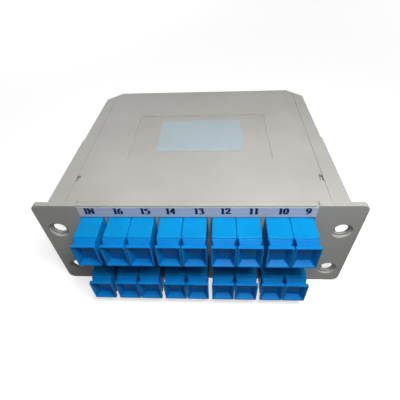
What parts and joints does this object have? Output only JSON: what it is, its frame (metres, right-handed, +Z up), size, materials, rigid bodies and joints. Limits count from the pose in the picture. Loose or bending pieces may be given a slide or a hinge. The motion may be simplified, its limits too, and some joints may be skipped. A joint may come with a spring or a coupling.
{
  "type": "plc fibre splitter",
  "caption": "Plug-in fibre splitter cassette with a wide front panel, two rows of SC adapters under dust caps, and a snap-in cover.",
  "frame": {"origin": "middle of the footprint, on the surface that the cassette rests on", "axes": "+X to the right seen from the front, +Y into the cassette away from the ports, +Z up"},
  "size_m": [0.13, 0.1094, 0.05],
  "materials": {
    "body_abs": "fine moulded texture, warm light grey",
    "label_film": "satin film, pale blue white",
    "strip_film": "satin film, pale lilac grey",
    "adapter_blue": "smooth moulded, bright blue",
    "cap_blue": "smooth moulded, soft blue",
    "plug_blue": "smooth moulded, blue",
    "zirconia": "ground, off white",
    "module_metal": "brushed",
    "fibre": "smooth jacket, off white"
  },
  "bodies": {
    "cassette": {"housing": "body_abs", "cover": "body_abs", "label": "label_film", "number_strip": "strip_film", "alignment_sleeves": "zirconia", "plc_module": "module_metal", "fibre_harness": "fibre", "adapter_in": "adapter_blue", "adapter_16": "adapter_blue", "adapter_15": "adapter_blue", "adapter_14": "adapter_blue", "adapter_13": "adapter_blue", "adapter_12": "adapter_blue", "adapter_11": "adapter_blue", "adapter_10": "adapter_blue", "adapter_09": "adapter_blue", "adapter_spare": "adapter_blue", "adapter_08": "adapter_blue", "adapter_07": "adapter_blue", "adapter_06": "adapter_blue", "adapter_05": "adapter_blue", "adapter_04": "adapter_blue", "adapter_03": "adapter_blue", "adapter_02": "adapter_blue", "adapter_01": "adapter_blue", "inner_plug_in": "plug_blue", "inner_plug_16": "plug_blue", "inner_plug_15": "plug_blue", "inner_plug_14": "plug_blue", "inner_plug_13": "plug_blue", "inner_plug_12": "plug_blue", "inner_plug_11": "plug_blue", "inner_plug_10": "plug_blue", "inner_plug_09": "plug_blue", "inner_plug_08": "plug_blue", "inner_plug_07": "plug_blue", "inner_plug_06": "plug_blue", "inner_plug_05": "plug_blue", "inner_plug_04": "plug_blue", "inner_plug_03": "plug_blue", "inner_plug_02": "plug_blue", "inner_plug_01": "plug_blue"},
    "dust_cap_in": {"dust_cap_in": "cap_blue"},
    "dust_cap_16": {"dust_cap_16": "cap_blue"},
    "dust_cap_15": {"dust_cap_15": "cap_blue"},
    "dust_cap_14": {"dust_cap_14": "cap_blue"},
    "dust_cap_13": {"dust_cap_13": "cap_blue"},
    "dust_cap_12": {"dust_cap_12": "cap_blue"},
    "dust_cap_11": {"dust_cap_11": "cap_blue"},
    "dust_cap_10": {"dust_cap_10": "cap_blue"},
    "dust_cap_09": {"dust_cap_09": "cap_blue"},
    "dust_cap_spare": {"dust_cap_spare": "cap_blue"},
    "dust_cap_08": {"dust_cap_08": "cap_blue"},
    "dust_cap_07": {"dust_cap_07": "cap_blue"},
    "dust_cap_06": {"dust_cap_06": "cap_blue"},
    "dust_cap_05": {"dust_cap_05": "cap_blue"},
    "dust_cap_04": {"dust_cap_04": "cap_blue"},
    "dust_cap_03": {"dust_cap_03": "cap_blue"},
    "dust_cap_02": {"dust_cap_02": "cap_blue"},
    "dust_cap_01": {"dust_cap_01": "cap_blue"}
  },
  "joints": [
    {"name": "dust_cap_in_pull", "type": "slide", "parent": "cassette", "child": "dust_cap_in", "axis": [0, -1, 0], "range_m": [0, 0.03]},
    {"name": "dust_cap_16_pull", "type": "slide", "parent": "cassette", "child": "dust_cap_16", "axis": [0, -1, 0], "range_m": [0, 0.03]},
    {"name": "dust_cap_15_pull", "type": "slide", "parent": "cassette", "child": "dust_cap_15", "axis": [0, -1, 0], "range_m": [0, 0.03]},
    {"name": "dust_cap_14_pull", "type": "slide", "parent": "cassette", "child": "dust_cap_14", "axis": [0, -1, 0], "range_m": [0, 0.03]},
    {"name": "dust_cap_13_pull", "type": "slide", "parent": "cassette", "child": "dust_cap_13", "axis": [0, -1, 0], "range_m": [0, 0.03]},
    {"name": "dust_cap_12_pull", "type": "slide", "parent": "cassette", "child": "dust_cap_12", "axis": [0, -1, 0], "range_m": [0, 0.03]},
    {"name": "dust_cap_11_pull", "type": "slide", "parent": "cassette", "child": "dust_cap_11", "axis": [0, -1, 0], "range_m": [0, 0.03]},
    {"name": "dust_cap_10_pull", "type": "slide", "parent": "cassette", "child": "dust_cap_10", "axis": [0, -1, 0], "range_m": [0, 0.03]},
    {"name": "dust_cap_09_pull", "type": "slide", "parent": "cassette", "child": "dust_cap_09", "axis": [0, -1, 0], "range_m": [0, 0.03]},
    {"name": "dust_cap_spare_pull", "type": "slide", "parent": "cassette", "child": "dust_cap_spare", "axis": [0, -1, 0], "range_m": [0, 0.03]},
    {"name": "dust_cap_08_pull", "type": "slide", "parent": "cassette", "child": "dust_cap_08", "axis": [0, -1, 0], "range_m": [0, 0.03]},
    {"name": "dust_cap_07_pull", "type": "slide", "parent": "cassette", "child": "dust_cap_07", "axis": [0, -1, 0], "range_m": [0, 0.03]},
    {"name": "dust_cap_06_pull", "type": "slide", "parent": "cassette", "child": "dust_cap_06", "axis": [0, -1, 0], "range_m": [0, 0.03]},
    {"name": "dust_cap_05_pull", "type": "slide", "parent": "cassette", "child": "dust_cap_05", "axis": [0, -1, 0], "range_m": [0, 0.03]},
    {"name": "dust_cap_04_pull", "type": "slide", "parent": "cassette", "child": "dust_cap_04", "axis": [0, -1, 0], "range_m": [0, 0.03]},
    {"name": "dust_cap_03_pull", "type": "slide", "parent": "cassette", "child": "dust_cap_03", "axis": [0, -1, 0], "range_m": [0, 0.03]},
    {"name": "dust_cap_02_pull", "type": "slide", "parent": "cassette", "child": "dust_cap_02", "axis": [0, -1, 0], "range_m": [0, 0.03]},
    {"name": "dust_cap_01_pull", "type": "slide", "parent": "cassette", "child": "dust_cap_01", "axis": [0, -1, 0], "range_m": [0, 0.03]}
  ]
}
